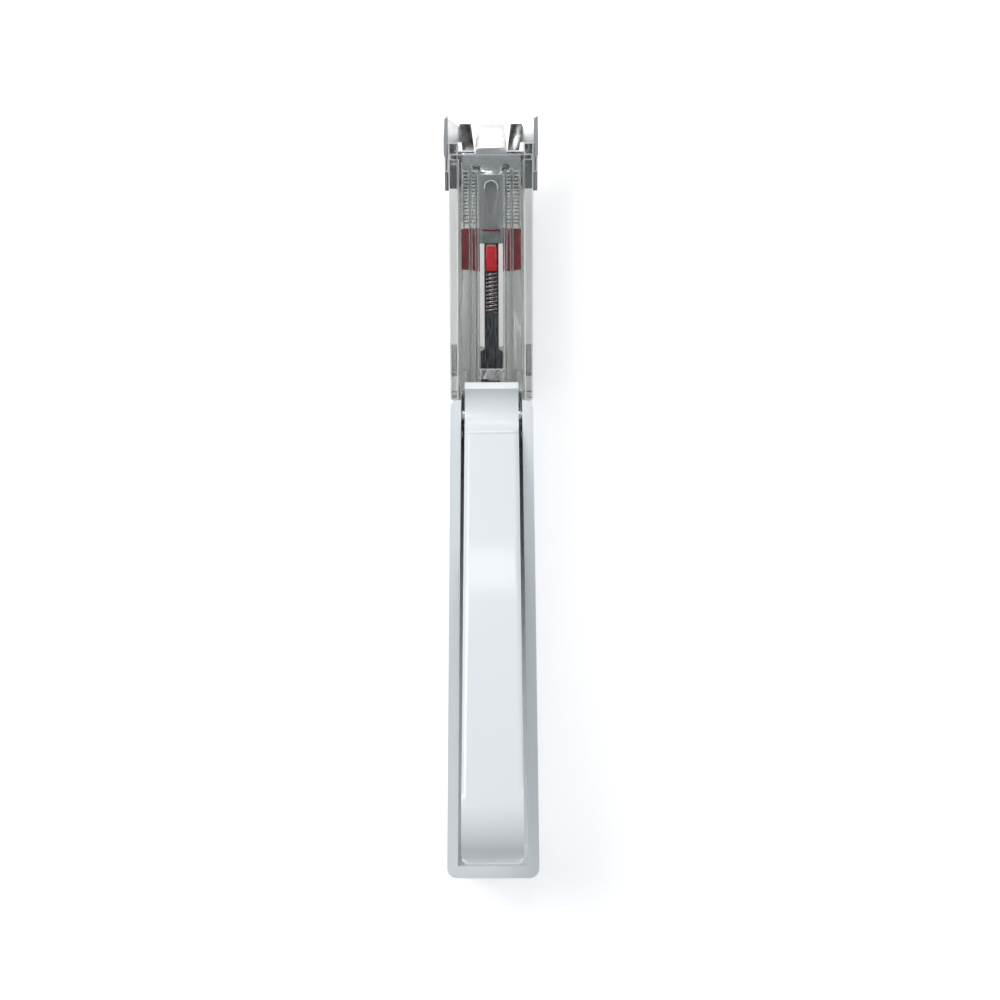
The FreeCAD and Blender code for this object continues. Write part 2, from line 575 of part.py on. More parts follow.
def build_nose_plate():
    body = new_body("nose_plate", "head")
    out = "(%s)+ear_thick" % EAR_IN
    slab(body, "back_plate", "plan", [box("-(%s)" % out, "back_plate_rear", out, "head_length-nose_chamfer")],
         "-sheet", "0")
    ear = [("back_plate_rear", "-sheet"), ("head_length-nose_chamfer", "-sheet"), ("ear_top", "step_level"),
           ("ear_top", "ear_height-ear_round"), ("ear_top-ear_round*0.3", "ear_height-ear_round*0.3", "through"),
           ("ear_top-ear_round", "ear_height"), ("ear_rear", "ear_height"), ("ear_rear", "shoulder_low-1"),
           ("back_plate_rear", "0")]
    slab(body, "ear_right", "side", [ear], EAR_IN, out)
    slab(body, "ear_left", "side", [ear], "-(%s)" % out, "-(%s)" % EAR_IN)
    for side, sign in (("right", ""), ("left", "-")):
        wing = [(sign + "(%s+0.2)" % EAR_IN, "leaf_level"), (sign + "leaf_in", "leaf_level"),
                (sign + "step_in", "step_level"), (sign + "(step_in+sheet)", "step_level"),
                (sign + "(leaf_in+sheet*0.7)", "leaf_level-sheet"), (sign + "(%s+0.2)" % EAR_IN, "leaf_level-sheet")]
        slab(body, "wing_" + side, "front", [wing], "wing_rear", "wing_front")
        slope = [(sign + "step_in*0.9", "wing_front-wing_slope"), (sign + "(%s)" % EAR_IN, "wing_front-0.3"),
                 (sign + "(%s)" % EAR_IN, "wing_front+1"), (sign + "step_in*0.9", "wing_front+1")]
        cut(body, "wing_slope_" + side, "plan", [slope], "0", "leaf_level+1")
    holes = [("circle", "rivet_out", "rivet_seat", "rivet_radius"),
             ("circle", "-rivet_out", "rivet_seat", "rivet_radius")]
    cut(body, "rivet_holes", "plan", holes, "-sheet-1", "0")
    return body


build_nose_plate()


def build_rivets():
    body = new_body("nose_rivets", "head")
    body.AllowCompound = True
    for side, sign in (("right", ""), ("left", "-")):
        slab(body, "head_" + side, "plan", [("circle", sign + "rivet_out", "rivet_seat", "rivet_head")],
             "-sheet-rivet_head_thick", "-sheet")
        slab(body, "shank_" + side, "plan", [("circle", sign + "rivet_out", "rivet_seat", "rivet_radius")],
             "-sheet-rivet_head_thick/2", "head_back_wall")
    return body


build_rivets()


# Follower: a red saddle with two side blocks under the ribs and a boss that the feed spring pushes
STACK_PITCH = "(wire+staple_gap)/sin(staple_cant)"
STACK_REAR = "stack_front-leg_length*cos(staple_cant)-%s*staple_count-wire" % STACK_PITCH


def build_follower():
    body = new_body("follower", "head")
    top = "stack_level+follower_height"
    outline = [("-follower_half", STACK_REAR), ("-follower_half", "follower_rear"),
               ("-follower_slot", "follower_rear-follower_slant*0.4"),
               ("-follower_slot", STACK_REAR + "-bridge_depth"),
               ("-boss_half", STACK_REAR + "-bridge_depth"), ("-boss_half", "boss_rear"),
               ("boss_half", "boss_rear"), ("boss_half", STACK_REAR + "-bridge_depth"),
               ("follower_slot", STACK_REAR + "-bridge_depth"),
               ("follower_slot", "follower_rear-follower_slant*0.4"),
               ("follower_half", "follower_rear"), ("follower_half", STACK_REAR)]
    slab(body, "saddle", "plan", [outline], "stack_level", top)
    slab(body, "boss", "plan", [box("-boss_half", "boss_rear", "boss_half", "boss_rear+boss_length")],
         "stack_level", "boss_top")
    soften(body, "boss_edges", "boss_round", [("-boss_half", "boss_rear+boss_length/4", "boss_top"),
                                              ("boss_half", "boss_rear+boss_length/4", "boss_top")])
    return body


build_follower()


# Spring strip: a steel strip on the lid's bridge, stepped narrower, its nose inside the feed spring
def build_strip():
    body = new_body("spring_strip", "head")
    outline = [("-strip_wide", "strip_rear"), ("strip_wide", "strip_rear"), ("strip_wide", "strip_step-strip_shoulder"),
               ("strip_narrow", "strip_step"), ("strip_narrow", "strip_front"), ("strip_nose_half", "strip_front"),
               ("strip_nose_half", "strip_front+strip_nose"), ("-strip_nose_half", "strip_front+strip_nose"),
               ("-strip_nose_half", "strip_front"), ("-strip_narrow", "strip_front"),
               ("-strip_narrow", "strip_step"), ("-strip_wide", "strip_step-strip_shoulder")]
    slab(body, "strip", "plan", [outline], "spring_axis-strip_thick/2", "spring_axis+strip_thick/2")
    return body


build_strip()


# Lifter spring: a leaf on the frame's back that holds the lead staple up to the blade
def build_lifter():
    body = new_body("lifter_spring", "head")
    seat = "head_back_wall"
    leaf = [("lifter_rear", seat), ("lifter_rear+5", seat), ("lifter_front", seat + "+lifter_rise"),
            ("lifter_front", seat + "+lifter_rise+lifter_thick"), ("lifter_rear+5", seat + "+lifter_thick"),
            ("lifter_rear", seat + "+lifter_thick")]
    slab(body, "leaf", "side", [leaf], "-lifter_half", "lifter_half")
    return body


build_lifter()


# Staples: one bent wire, drawn once as crown and legs and repeated at the pack's pitch
def add_feature(label, shape, frame):
    """A piece whose shape is set in code, standing in its family's place."""
    piece = doc.addObject("Part::Feature", label)
    piece.Label = label
    piece.Shape = shape
    place(piece, frame)
    return piece


def staple(y, z, cant):
    """One open staple: crown at the given place, legs forward and down at the cant."""
    wire = value("wire")
    half = value("staple_width") / 2 - wire / 2
    bend = value("leg_bend")
    leg = value("leg_length")
    lead = Vector(0, value("cos(%s)" % cant), -value("sin(%s)" % cant))
    crown = Vector(0, y, z)
    side = Vector(half, 0, 0)
    slant = bend * (1 - 0.5 ** 0.5)
    edges = []
    left = [crown - side + lead * leg, crown - side + lead * bend, crown - side + Vector(slant, 0, 0) + lead * slant,
            crown - side + Vector(bend, 0, 0)]
    right = [Vector(-p.x, p.y, p.z) for p in left]
    edges.append(Part.LineSegment(left[0], left[1]).toShape())
    edges.append(Part.Arc(left[1], left[2], left[3]).toShape())
    edges.append(Part.LineSegment(left[3], right[3]).toShape())
    edges.append(Part.Arc(right[3], right[2], right[1]).toShape())
    edges.append(Part.LineSegment(right[1], right[0]).toShape())
    path = Part.Wire(edges)
    section = Part.Wire([Part.makeCircle(wire / 2, left[0], lead)])
    return path.makePipeShell([section], True, False, 2)


def build_staples():
    level = value("stack_level+wire/2+(leg_length)*sin(staple_cant)")
    front = value("stack_front-leg_length*cos(staple_cant)")
    pitch = value(STACK_PITCH)
    pack = [staple(front - index * pitch, level, "staple_cant") for index in range(int(value("staple_count")))]
    add_feature("staple_stack", Part.Compound(pack), "head")
    lead = staple(value("blade_front+wire/2+staple_gap"), value("blade_level+blade_thick/2"), "0")
    add_feature("lead_staple", lead, "head")


build_staples()


# Springs: round wire wound on a helix
def coil(radius, wire, length, turns, start, axis):
    """A closed solid coil whose wire's centre runs from start along the axis."""
    helix = Part.makeHelix(length / turns, length, radius)
    helix.Placement = Placement(start, Rotation(Vector(0, 0, 1), axis))
    first = helix.Edges[0]
    begin = first.valueAt(first.FirstParameter)
    section = Part.Wire([Part.makeCircle(wire / 2, begin, first.tangentAt(first.FirstParameter))])
    return Part.Wire(helix.Edges).makePipeShell([section], True, True, 2)


def build_springs():
    wire = value("spring_wire")
    rear = value("strip_front+spring_wire/2+spring_end_gap")
    length = value("boss_rear-spring_wire/2-spring_end_gap") - rear
    start = Vector(0, rear, value("spring_axis"))
    shape = coil(value("spring_radius"), wire, length, value("spring_turns"), start, Vector(0, 1, 0))
    add_feature("feed_spring", shape, "head")


build_springs()


def build_torsion():
    """The return spring: two turns round the trigger pin and a leg down to the handle's back."""
    wire = value("torsion_wire")
    turns = value("torsion_turns")
    width = turns * value("torsion_wire+torsion_turn_gap")
    start = Vector(-width / 2, value("-pivot_back"), value("(rim_height-pivot_drop)"))
    shape = coil(value("torsion_radius"), wire, width, turns, start, Vector(1, 0, 0))
    add_feature("return_spring", shape, "handle")


build_torsion()

# Written last: every piece is looked at before its file is made
doc.recompute()
os.makedirs("parts", exist_ok=True)
for item in doc.Objects:
    if "Invalid" in item.State or "Error" in item.State:
        raise RuntimeError("%s failed: %s" % (item.Label, item.State))
PIECES = [item for item in doc.Objects if item.TypeId in ("PartDesign::Body", "Part::Feature")]
for piece in PIECES:
    if piece.Shape.isNull() or not piece.Shape.isValid():
        raise RuntimeError("%s has no sound shape" % piece.Label)
    piece.Shape.exportStep("parts/%s.step" % piece.Label)
    print(piece.Label, len(piece.Shape.Solids), round(piece.Shape.Volume, 2), piece.Shape.BoundBox)
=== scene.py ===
from math import cos, pi, radians, sin

import bpy
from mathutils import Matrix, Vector


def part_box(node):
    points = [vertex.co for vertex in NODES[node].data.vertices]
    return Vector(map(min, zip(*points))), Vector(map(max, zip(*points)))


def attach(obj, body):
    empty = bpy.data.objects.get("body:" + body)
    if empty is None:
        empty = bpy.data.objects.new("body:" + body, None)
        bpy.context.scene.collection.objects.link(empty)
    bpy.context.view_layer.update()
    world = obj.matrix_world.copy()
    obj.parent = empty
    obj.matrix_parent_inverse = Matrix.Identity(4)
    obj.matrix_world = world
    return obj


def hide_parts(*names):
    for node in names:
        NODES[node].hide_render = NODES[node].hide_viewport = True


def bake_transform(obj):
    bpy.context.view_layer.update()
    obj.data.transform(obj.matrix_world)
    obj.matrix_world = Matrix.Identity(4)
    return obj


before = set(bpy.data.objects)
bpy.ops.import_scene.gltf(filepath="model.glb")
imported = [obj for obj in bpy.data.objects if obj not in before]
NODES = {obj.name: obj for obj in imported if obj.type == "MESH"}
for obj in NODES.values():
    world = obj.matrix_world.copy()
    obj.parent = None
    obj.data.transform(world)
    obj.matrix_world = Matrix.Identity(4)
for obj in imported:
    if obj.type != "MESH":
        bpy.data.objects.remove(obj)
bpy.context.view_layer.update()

bpy.ops.object.select_all(action="DESELECT")


# The room: a pale sheet under the stapler, a cool grey room round it and five soft lamps. The
# camera looks straight down on the trigger side, with the nose at the top of the picture.
def bright_for_camera(nodes, links, strength):
    """A value of this strength on camera, glossy and transmission rays, and 0 on all others."""
    path = nodes.new("ShaderNodeLightPath")
    seen = path.outputs["Is Camera Ray"]
    for ray in ("Is Glossy Ray", "Is Transmission Ray"):
        either = nodes.new("ShaderNodeMath")
        either.operation = "MAXIMUM"
        links.new(seen, either.inputs[0])
        links.new(path.outputs[ray], either.inputs[1])
        seen = either.outputs[0]
    scaled = nodes.new("ShaderNodeMath")
    scaled.operation = "MULTIPLY"
    scaled.inputs[1].default_value = strength
    links.new(seen, scaled.inputs[0])
    return scaled.outputs[0]


FLOOR_SIZE, FLOOR_DROP = 30.0, 0.0002
bpy.ops.mesh.primitive_plane_add(size=FLOOR_SIZE, location=(0, 0, -FLOOR_DROP))
floor = bpy.context.object
floor.name = "floor_sheet"
paper = bpy.data.materials.new("pale_paper")
paper.use_nodes = True
nodes, links = paper.node_tree.nodes, paper.node_tree.links
paper_shader = nodes["Principled BSDF"]
paper_shader.inputs["Base Color"].default_value = (0.9, 0.9, 0.9, 1)
paper_shader.inputs["Roughness"].default_value = 0.8
paper_shader.inputs["Emission Color"].default_value = (1, 1, 1, 1)
links.new(bright_for_camera(nodes, links, 0.45), paper_shader.inputs["Emission Strength"])
floor.data.materials.append(paper)

# The room is bright and cool overhead and darker towards the horizon, so that slopes and edges show
room = bpy.data.worlds.new("pale_room")
bpy.context.scene.world = room
room.use_nodes = True
nodes, links = room.node_tree.nodes, room.node_tree.links
compass = nodes.new("ShaderNodeTexCoord")
split = nodes.new("ShaderNodeSeparateXYZ")
links.new(compass.outputs["Generated"], split.inputs["Vector"])
sky = nodes.new("ShaderNodeValToRGB")
sky.color_ramp.elements[0].position = 0.05
sky.color_ramp.elements[0].color = (0.20, 0.21, 0.22, 1)
sky.color_ramp.elements[1].position = 0.85
sky.color_ramp.elements[1].color = (0.80, 0.86, 0.93, 1)
links.new(split.outputs["Z"], sky.inputs["Fac"])
links.new(sky.outputs["Color"], nodes["Background"].inputs["Color"])
nodes["Background"].inputs["Strength"].default_value = 0.45


def soft_lamp(name, watts, wide, deep, place, aim):
    """A rectangular soft lamp at place, turned to face aim."""
    bpy.ops.object.light_add(type="AREA", location=place)
    lamp = bpy.context.object
    lamp.name = name
    lamp.data.shape = "RECTANGLE"
    lamp.data.size, lamp.data.size_y = wide, deep
    lamp.data.energy = watts
    lamp.rotation_euler = (Vector(aim) - Vector(place)).to_track_quat("-Z", "Y").to_euler()


soft_lamp("head_lamp", 3.4, 0.5, 0.35, (-0.44, 0.42, 0.68), (0, 0, 0))
soft_lamp("left_lamp", 0.9, 0.25, 0.9, (-0.6, 0.1, 0.45), (0, 0, 0))
soft_lamp("right_lamp", 1.6, 0.25, 0.9, (0.6, 0.1, 0.45), (0, 0, 0))
soft_lamp("strip_lamp", 0.16, 0.30, 0.035, (0.0, 0.437, 0.686), (0, -0.02, 0.027))
soft_lamp("nose_lamp", 0.9, 0.30, 0.5, (0.0, 0.72, 0.24), (0, 0.08, 0.015))

VIEW_PLACE, VIEW_TURN, LENS = (0.0017, -0.001, 0.45), -0.0033, 73.1
bpy.ops.object.camera_add(location=VIEW_PLACE, rotation=(0, 0, VIEW_TURN))
camera = bpy.context.object
camera.name = "view_from_above"
camera.data.lens = LENS
camera.data.clip_start = 0.01
bpy.context.scene.camera = camera
bpy.context.scene.view_settings.view_transform = "Standard"


# The moulded white parts are glossy ABS. Its gloss wanders a little and sinks leave slow ripples.
# The lengths and angles below say how every copy of a CAD piece is welded, rounded and smoothed.
WELD, FLAT, SKEW = 1e-6, radians(1), radians(60)
SHARP, SMOOTH = radians(32), radians(35)


def finish(name, colour, roughness, metallic=0.0, **sockets):
    """A new material whose shader has these plain values."""
    material = bpy.data.materials.new(name)
    material.use_nodes = True
    shader = material.node_tree.nodes["Principled BSDF"]
    shader.inputs["Base Color"].default_value = (*colour, 1)
    shader.inputs["Roughness"].default_value = roughness
    shader.inputs["Metallic"].default_value = metallic
    for socket, number in sockets.items():
        shader.inputs[socket.replace("_", " ")].default_value = number
    return material


def noise_over(material, scale, detail=3.0, stretch=(1, 1, 1)):
    """Noise in Object coordinates, with scale in waves per metre along each axis."""
    nodes, links = material.node_tree.nodes, material.node_tree.links
    place = nodes.new("ShaderNodeTexCoord")
    mapping = nodes.new("ShaderNodeMapping")
    mapping.inputs["Scale"].default_value = stretch
    noise = nodes.new("ShaderNodeTexNoise")
    noise.inputs["Scale"].default_value = scale
    noise.inputs["Detail"].default_value = detail
    links.new(place.outputs["Object"], mapping.inputs["Vector"])
    links.new(mapping.outputs["Vector"], noise.inputs["Vector"])
    return noise.outputs["Fac"]


def tint(material, fac, dark, light):
    """The base colour wanders between two colours."""
    nodes, links = material.node_tree.nodes, material.node_tree.links
    ramp = nodes.new("ShaderNodeValToRGB")
    ramp.color_ramp.elements[0].position = 0.35
    ramp.color_ramp.elements[0].color = (*dark, 1)
    ramp.color_ramp.elements[1].position = 0.65
    ramp.color_ramp.elements[1].color = (*light, 1)
    links.new(fac, ramp.inputs["Fac"])
    links.new(ramp.outputs["Color"], nodes["Principled BSDF"].inputs["Base Color"])


def gloss(material, fac, low, high):
    """The roughness wanders between low and high."""
    nodes, links = material.node_tree.nodes, material.node_tree.links
    spread = nodes.new("ShaderNodeMapRange")
    spread.inputs["From Min"].default_value = 0.3
    spread.inputs["From Max"].default_value = 0.7
    spread.inputs["To Min"].default_value = low
    spread.inputs["To Max"].default_value = high
    links.new(fac, spread.inputs["Value"])
    links.new(spread.outputs["Result"], nodes["Principled BSDF"].inputs["Roughness"])


def ripple(material, fac, strength, depth):
    """Bumps of this depth in metres, laid over any that are there."""
    nodes, links = material.node_tree.nodes, material.node_tree.links
    bump = nodes.new("ShaderNodeBump")
    bump.inputs["Strength"].default_value = strength
    bump.inputs["Distance"].default_value = depth
    links.new(fac, bump.inputs["Height"])
    normal = nodes["Principled BSDF"].inputs["Normal"]
    if normal.links:
        links.new(normal.links[0].from_socket, bump.inputs["Normal"])
    links.new(bump.outputs["Normal"], normal)


def alone(piece):
    """Makes the piece the only one selected, and the active one."""
    bpy.ops.object.select_all(action="DESELECT")
    piece.select_set(True)
    bpy.context.view_layer.objects.active = piece


def pick(piece, kind, chosen):
    """Opens the piece for editing with just the edges or faces that chosen accepts selected."""
    bpy.ops.object.mode_set(mode="EDIT")
    bpy.ops.mesh.select_mode(type=kind)
    bpy.ops.mesh.select_all(action="DESELECT")
    bpy.ops.object.mode_set(mode="OBJECT")
    for part in piece.data.edges if kind == "EDGE" else piece.data.polygons:
        part.select = chosen(part)
    bpy.ops.object.mode_set(mode="EDIT")


def picked():
    """Ends what pick began."""
    bpy.ops.mesh.select_mode(type="VERT")
    bpy.ops.object.mode_set(mode="OBJECT")


def rounded_copy(node, name, material, body, edge, segments=2, edge_material=None,
                 shape=None):
    """A CAD node's shape with its triangles joined and its sharp edges rounded by edge metres."""
    mesh = NODES[node].data.copy()
    mesh.materials.clear()
    mesh.materials.append(material)
    piece = bpy.data.objects.new(name, mesh)
    bpy.context.collection.objects.link(piece)
    alone(piece)
    bpy.ops.object.mode_set(mode="EDIT")
    bpy.ops.mesh.select_all(action="SELECT")
    bpy.ops.mesh.remove_doubles(threshold=WELD)
    bpy.ops.mesh.tris_convert_to_quads(face_threshold=FLAT, shape_threshold=SKEW)
    bpy.ops.object.mode_set(mode="OBJECT")
    if shape:
        shape(piece)
    if edge:
        rounding = piece.modifiers.new("rounding", "BEVEL")
        rounding.width = edge
        rounding.segments = segments
        rounding.limit_method = "ANGLE"
        rounding.angle_limit = SHARP
        if edge_material:
            mesh.materials.append(edge_material)
            rounding.material = 1
        bpy.ops.object.modifier_apply(modifier=rounding.name)
    bpy.ops.object.shade_smooth_by_angle(angle=SMOOTH)
    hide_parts(node)
    if body:
        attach(piece, body)
    return piece


white_abs = finish("white_abs", (0.82, 0.85, 0.86), 0.3, Coat_Weight=0.6, Coat_Roughness=0.06)
tint(white_abs, noise_over(white_abs, 30.0), (0.812, 0.842, 0.852), (0.826, 0.856, 0.866))
gloss(white_abs, noise_over(white_abs, 90.0), 0.28, 0.32)
ripple(white_abs, noise_over(white_abs, 40.0, 1.0), 0.05, 0.0004)
rounded_copy("handle_body", "handle_channel", white_abs, "frame", 0.0005, 3)


# The handle's channel has two low stiffening ribs across its floor and four flat marks that the
# mould's ejector pins left. They are of one piece with the handle.
FACES_UP = 0.9
RIB_PLACES, RIB_SIZE, RIB_LEVEL, RIB_TAPER = (-0.028, 0.004), (0.0128, 0.0009, 0.0012), 0.0022, 0.6
EJECTOR_PLACES = (-0.062, -0.044, -0.012, 0.018)
EJECTOR_LEVEL, EJECTOR_RADIUS, EJECTOR_THICK = 0.0021, 0.0021, 0.0003
EJECTOR_RIM, EJECTOR_SINK = 0.00035, 0.00016


def joined(pieces, name):
    """One object made of all the pieces."""
    bpy.ops.object.select_all(action="DESELECT")
    for piece in pieces:
        piece.select_set(True)
    bpy.context.view_layer.objects.active = pieces[0]
    bpy.ops.object.join()
    whole = bpy.context.object
    whole.name = name
    return whole


def settled(piece):
    """Lays the object's place, turn and size into its mesh."""
    alone(piece)
    bpy.ops.object.transform_apply(location=True, rotation=True, scale=True)
    return piece


def add_bevel(piece, width, segments=2):
    """Rounds every sharp edge of the piece."""
    alone(piece)
    rounding = piece.modifiers.new("rounding", "BEVEL")
    rounding.width = width
    rounding.segments = segments
    rounding.limit_method = "ANGLE"
    bpy.ops.object.modifier_apply(modifier=rounding.name)
    bpy.ops.object.shade_smooth_by_angle(angle=SMOOTH)


floor_marks = []
for y in RIB_PLACES:
    bpy.ops.mesh.primitive_cube_add(size=1, location=(0, y, RIB_LEVEL), scale=RIB_SIZE)
    rib = settled(bpy.context.object)
    pick(rib, "FACE", lambda face: face.normal.z > FACES_UP)
    bpy.ops.transform.resize(value=(1, RIB_TAPER, 1))
    picked()
    floor_marks.append(rib)
for y in EJECTOR_PLACES:
    bpy.ops.mesh.primitive_cylinder_add(
        vertices=32, radius=EJECTOR_RADIUS, depth=EJECTOR_THICK, location=(0, y, EJECTOR_LEVEL))
    mark = settled(bpy.context.object)
    pick(mark, "FACE", lambda face: face.normal.z > FACES_UP)
    bpy.ops.mesh.inset(thickness=EJECTOR_RIM)
    bpy.ops.transform.translate(value=(0, 0, -EJECTOR_SINK))
    picked()
    floor_marks.append(mark)
marks = joined(floor_marks, "handle_floor_marks")
add_bevel(marks, 0.00008)
marks.data.materials.append(white_abs)
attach(marks, "frame")


# In the CAD the channel's lower rear corner breaks through the tail's round, in a slit of 0.7 by
# 0.9 mm. A fillet, of one piece with the handle, closes that corner SKIN metres inside the round.
TAIL_ROUND, FILLET_HALF, SKIN = 0.0090, 0.00758, 0.00002
FILLET_ANGLES = (32, 37, 42, 47, 52)
FILLET_INSIDE = ((-0.0799, 0.0044), (-0.0793, 0.0044), (-0.0770, 0.00206), (-0.0770, 0.0016))


def traced(name, points):
    """A new piece in edit mode, a chain of edges through the points, all selected."""
    bpy.ops.mesh.primitive_plane_add(size=0.001, location=points[0])
    piece = settled(bpy.context.object)
    piece.name = name
    bpy.ops.object.mode_set(mode="EDIT")
    bpy.ops.mesh.select_all(action="SELECT")
    bpy.ops.mesh.merge(type="CENTER")
    for here, there in zip(points, points[1:]):
        step = [end - start for start, end in zip(here, there)]
        bpy.ops.mesh.extrude_region_move(TRANSFORM_OT_translate={"value": step})
    bpy.ops.mesh.select_all(action="SELECT")
    return piece


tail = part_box("handle_body")[0].y
outline = [(tail + TAIL_ROUND - (TAIL_ROUND - SKIN) * sin(radians(angle)),
            TAIL_ROUND - (TAIL_ROUND - SKIN) * cos(radians(angle))) for angle in FILLET_ANGLES]
outline += FILLET_INSIDE
fillet = traced("handle_tail_fillet", [(-FILLET_HALF, y, z) for y, z in outline])
bpy.ops.mesh.edge_face_add()
bpy.ops.mesh.extrude_region_move(TRANSFORM_OT_translate={"value": (2 * FILLET_HALF, 0, 0)})
bpy.ops.mesh.select_all(action="SELECT")
bpy.ops.mesh.normals_make_consistent(inside=False)
bpy.ops.object.mode_set(mode="OBJECT")
bpy.ops.object.shade_smooth_by_angle(angle=radians(20))
fillet.data.materials.append(white_abs)
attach(fillet, "frame")


# Pins of bright turned stainless steel: the trigger's pivot and the two short cross pins of the
# clear head's spigot are pressed into the handle, and the drive pin into the trigger's crank.
bright_steel = finish("bright_steel", (0.80, 0.80, 0.79), 0.12, 1.0)
gloss(bright_steel, noise_over(bright_steel, 900.0, 4.0, (1, 0.2, 1)), 0.06, 0.2)
ripple(bright_steel, noise_over(bright_steel, 250.0, 1.0), 0.3, 0.0002)
rounded_copy("trigger_pin", "pivot_pin", bright_steel, "frame", 0.00025, 3)
rounded_copy("spigot_pins", "cross_pins", bright_steel, "frame", 0.0002, 3)
rounded_copy("drive_pin", "crank_pin", bright_steel, "trigger", 0.0002, 3)


# The trigger is a second white channel that opens downwards. It has a lip, a hollow for the
# finger, a long smooth pad and a curled end, and carries the crank's two cheeks underneath.
OPEN_ANGLE = radians(15)
END_ROUND, END_SIDE, END_SLACK = 0.0013, 0.0052, 0.0012


def round_ends(piece):
    """Rounds the four upright corners at the lever's two ends."""
    points = [vertex.co for vertex in piece.data.vertices]
    along = [point.z * sin(OPEN_ANGLE) - point.y * cos(OPEN_ANGLE) for point in points]
    above = [point.z * cos(OPEN_ANGLE) + point.y * sin(OPEN_ANGLE) for point in points]
    ends = min(along), max(along)

    def upright(edge):
        """Is this edge one of the corners?"""
        here, there = edge.vertices
        at_end = any(abs(along[here] - end) < END_SLACK and abs(along[there] - end) < END_SLACK
                     for end in ends)
        on_side = min(abs(points[here].x), abs(points[there].x)) > END_SIDE
        steep = abs(above[here] - above[there]) > 3 * abs(along[here] - along[there])
        return at_end and on_side and steep and abs(points[here].x - points[there].x) < 1e-5

    pick(piece, "EDGE", upright)
    bpy.ops.mesh.bevel(offset=END_ROUND, segments=5, affect="EDGES")
    picked()


trigger = rounded_copy("trigger_lever", "squeeze_trigger", white_abs, "trigger",
                       0.0003, 3, shape=round_ends)

# A fine raised bead runs across the trigger where the finger's hollow meets the pad. It is whiter
# than the trigger, a painted highlight along that crest.
BEAD_PLACE, BEAD_LENGTH, BEAD_RADIUS = 0.0132, 0.0098, 0.0002
bead_level = trigger.ray_cast((0, BEAD_PLACE, 0.1), (0, 0, -1))[1].z
bpy.ops.mesh.primitive_cylinder_add(vertices=24, radius=BEAD_RADIUS, depth=BEAD_LENGTH,
                                    location=(0, BEAD_PLACE, bead_level), rotation=(0, pi / 2, 0))
bead = settled(bpy.context.object)
bead.name = "trigger_bead"
add_bevel(bead, 0.0001)
# The bead's brighter white is a painted highlight on the crest
painted_highlight_white = finish("painted_highlight_white", (0.97, 0.975, 0.98), 0.25, Coat_Weight=0.6,
                      Coat_Roughness=0.06)
tint(painted_highlight_white, noise_over(painted_highlight_white, 200.0), (0.96, 0.965, 0.97), (0.98, 0.985, 0.99))
bead.data.materials.append(painted_highlight_white)
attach(bead, "trigger")


# The return spring is wound from drawn spring wire round the pivot pin, between the cheeks.
drawn_wire = finish("drawn_wire", (0.74, 0.74, 0.73), 0.2, 1.0)
tint(drawn_wire, noise_over(drawn_wire, 1800.0, 2.0), (0.66, 0.66, 0.65), (0.80, 0.80, 0.79))
gloss(drawn_wire, noise_over(drawn_wire, 2500.0), 0.14, 0.3)
rounded_copy("return_spring", "trigger_spring", drawn_wire, "frame", 0)


# The head frame is a clear polished styrene trough, slightly smoky where it is thick. It has a
# snap window and a shoulder on each side and plugs into the handle with two bars.
smoke_clear = finish("smoke_clear", (0.59, 0.60, 0.585), 0.03, Transmission_Weight=1.0, IOR=1.45)
gloss(smoke_clear, noise_over(smoke_clear, 200.0), 0.02, 0.06)
# The pale, half-clear material on every rounded edge is a painted highlight that makes the edges
# show as bright lines
painted_highlight_edge = finish("painted_highlight_edge", (0.9, 0.92, 0.91), 0.3, Transmission_Weight=0.5, IOR=1.45)
tint(painted_highlight_edge, noise_over(painted_highlight_edge, 120.0), (0.87, 0.89, 0.88), (0.93, 0.945, 0.94))
gloss(painted_highlight_edge, noise_over(painted_highlight_edge, 400.0), 0.28, 0.32)
rounded_copy("head_frame", "clear_head", smoke_clear, "frame", 0.0003, 3,
             painted_highlight_edge)


# The driver: a plain acetal block that the crank's pin moves, and the dark spring-steel blade
# that it carries, which pushes one staple at a time against the anvil.
plain_acetal = finish("plain_acetal", (0.74, 0.75, 0.75), 0.4)
tint(plain_acetal, noise_over(plain_acetal, 300.0), (0.70, 0.71, 0.72), (0.78, 0.79, 0.79))
ripple(plain_acetal, noise_over(plain_acetal, 1500.0), 0.3, 0.0001)
rounded_copy("driver_carrier", "slide_block", plain_acetal, "driver", 0.0002)

dark_spring = finish("dark_spring", (0.2, 0.2, 0.2), 0.3, 1.0)
BRUSHED = (1, 0.03, 1)
brushing = noise_over(dark_spring, 3000.0, 4.0, BRUSHED)
tint(dark_spring, brushing, (0.05, 0.055, 0.055), (0.15, 0.155, 0.155))
gloss(dark_spring, brushing, 0.22, 0.42)
ripple(dark_spring, noise_over(dark_spring, 4000.0, 3.0, BRUSHED), 0.2, 0.00005)
rounded_copy("driver_blade", "pusher_blade", dark_spring, "driver", 0)


# The cartridge tray is a thin clear moulding with a flat floor and two low walls. The small bent
# leaf of spring steel under its front lifts the fired staple clear.
thin_clear = finish("thin_clear", (0.93, 0.945, 0.93), 0.04, Transmission_Weight=1.0, IOR=1.4)
gloss(thin_clear, noise_over(thin_clear, 200.0), 0.02, 0.07)
rounded_copy("cartridge_tray", "clear_tray", thin_clear, "frame", 0.00015)
rounded_copy("lifter_spring", "lifter_leaf", dark_spring, "frame", 0)


# Staples of drawn stainless wire with square legs. The pack leans in the tray and closes up as
# the follower comes forward, and the lead staple lies on the driver's path.
pack = rounded_copy("staple_stack", "staple_pack", drawn_wire, None, 0)
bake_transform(pack)
rounded_copy("lead_staple", "first_staple", drawn_wire, "driver", 0)


